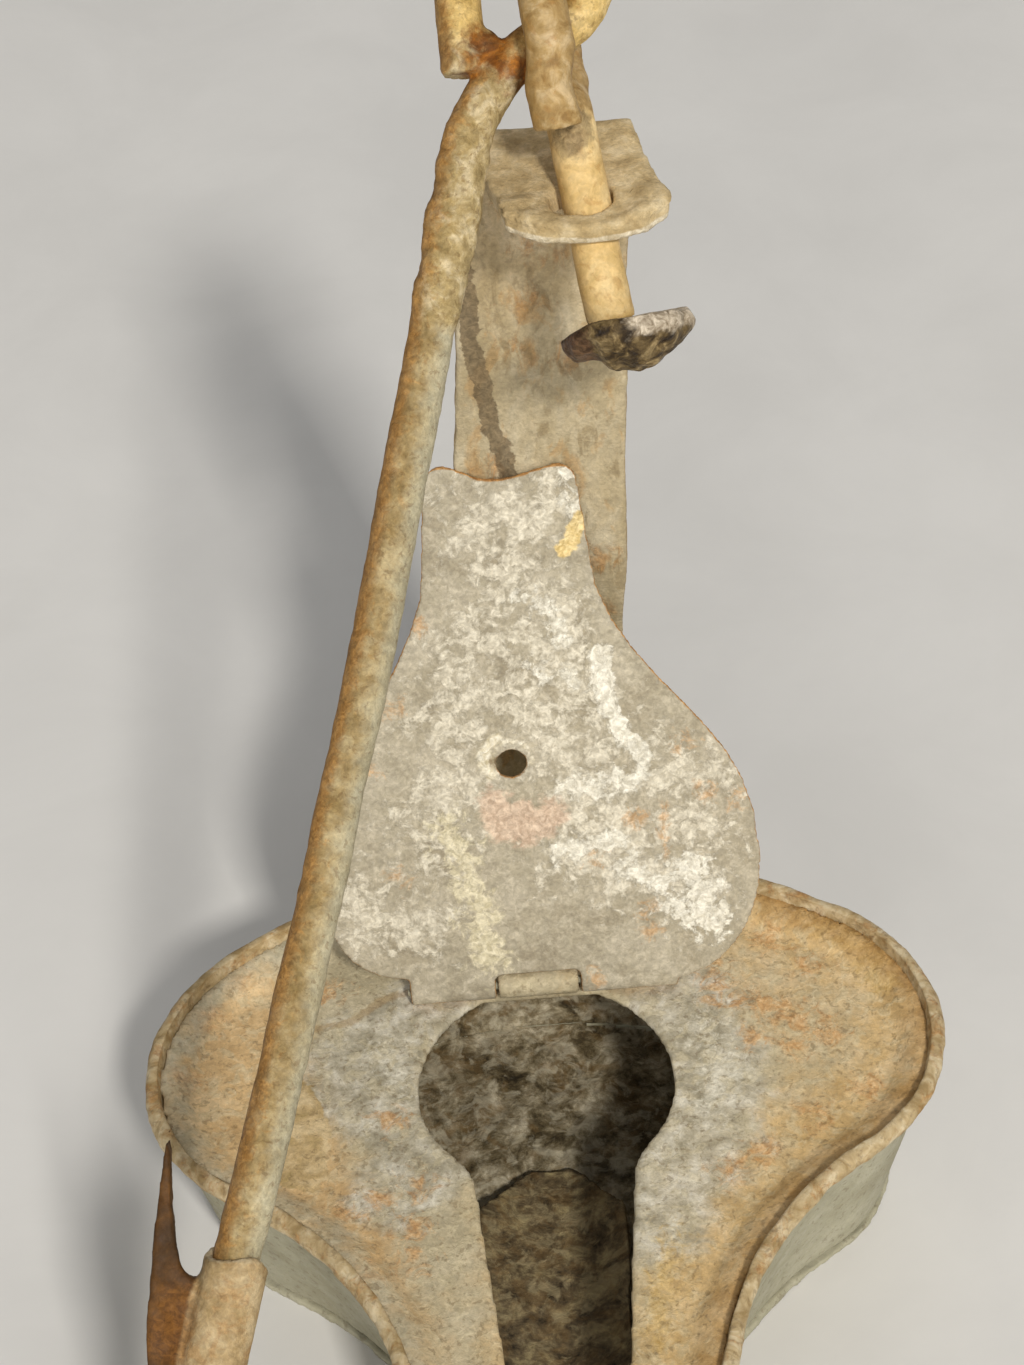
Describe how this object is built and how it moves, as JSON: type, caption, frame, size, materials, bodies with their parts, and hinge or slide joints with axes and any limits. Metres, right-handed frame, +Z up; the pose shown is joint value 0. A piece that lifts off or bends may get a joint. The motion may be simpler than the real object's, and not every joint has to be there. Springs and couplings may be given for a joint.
{
  "type": "betty lamp",
  "caption": "Forged-iron betty lamp: a keyhole-topped oil pan with a hinged lid, a riveted bracket, a swivel eye and a leaning hook hanger.",
  "frame": {"origin": "on the table, under the centre of the keyhole's round head", "axes": "+Z up, -Y towards the pan's nose, +X to the right seen from the nose"},
  "size_m": [0.0975, 0.1385, 0.1483],
  "materials": {
    "pan_iron": "rusted, grey-tan",
    "inner_iron": "dark, crusted",
    "lid_iron": "grey with chalky bloom",
    "bracket_iron": "grey-tan with rust streaks",
    "swivel_iron": "yellow-tan, worn smooth",
    "button_iron": "dark brown, worn at the edge",
    "hanger_iron": "tan-olive, grained rust",
    "hook_iron": "orange-brown rust"
  },
  "bodies": {
    "pan": {"floor_plate": "inner_iron", "side_wall": "pan_iron", "top_plate": "pan_iron", "wick_support": "inner_iron", "hinge_pin": "pan_iron", "bracket": "bracket_iron", "bracket_rivets": "bracket_iron"},
    "lid": {"lid": "lid_iron"},
    "swivel": {"swivel_pin": "swivel_iron", "swivel_button": "button_iron"},
    "hanger": {"hanger_rod": "hanger_iron", "hook_head": "hook_iron"}
  },
  "joints": [
    {"name": "lid_hinge", "type": "hinge", "parent": "pan", "child": "lid", "pos_m": [0, 0.0132, 0.02375], "axis": [1, 0, 0], "range_deg": [0, 108.8]},
    {"name": "swivel_turn", "type": "hinge", "parent": "pan", "child": "swivel", "pos_m": [0.0103, 0.0208, 0.124], "axis": [-0.1299, 0.5707, 0.8108], "range_deg": [-20, 200]},
    {"name": "hanger_swing", "type": "hinge", "parent": "swivel", "child": "hanger", "pos_m": [0.00603, 0.0341, 0.14145], "axis": [-0.001, 0.7307, -0.6827], "range_deg": [0, 170]}
  ]
}
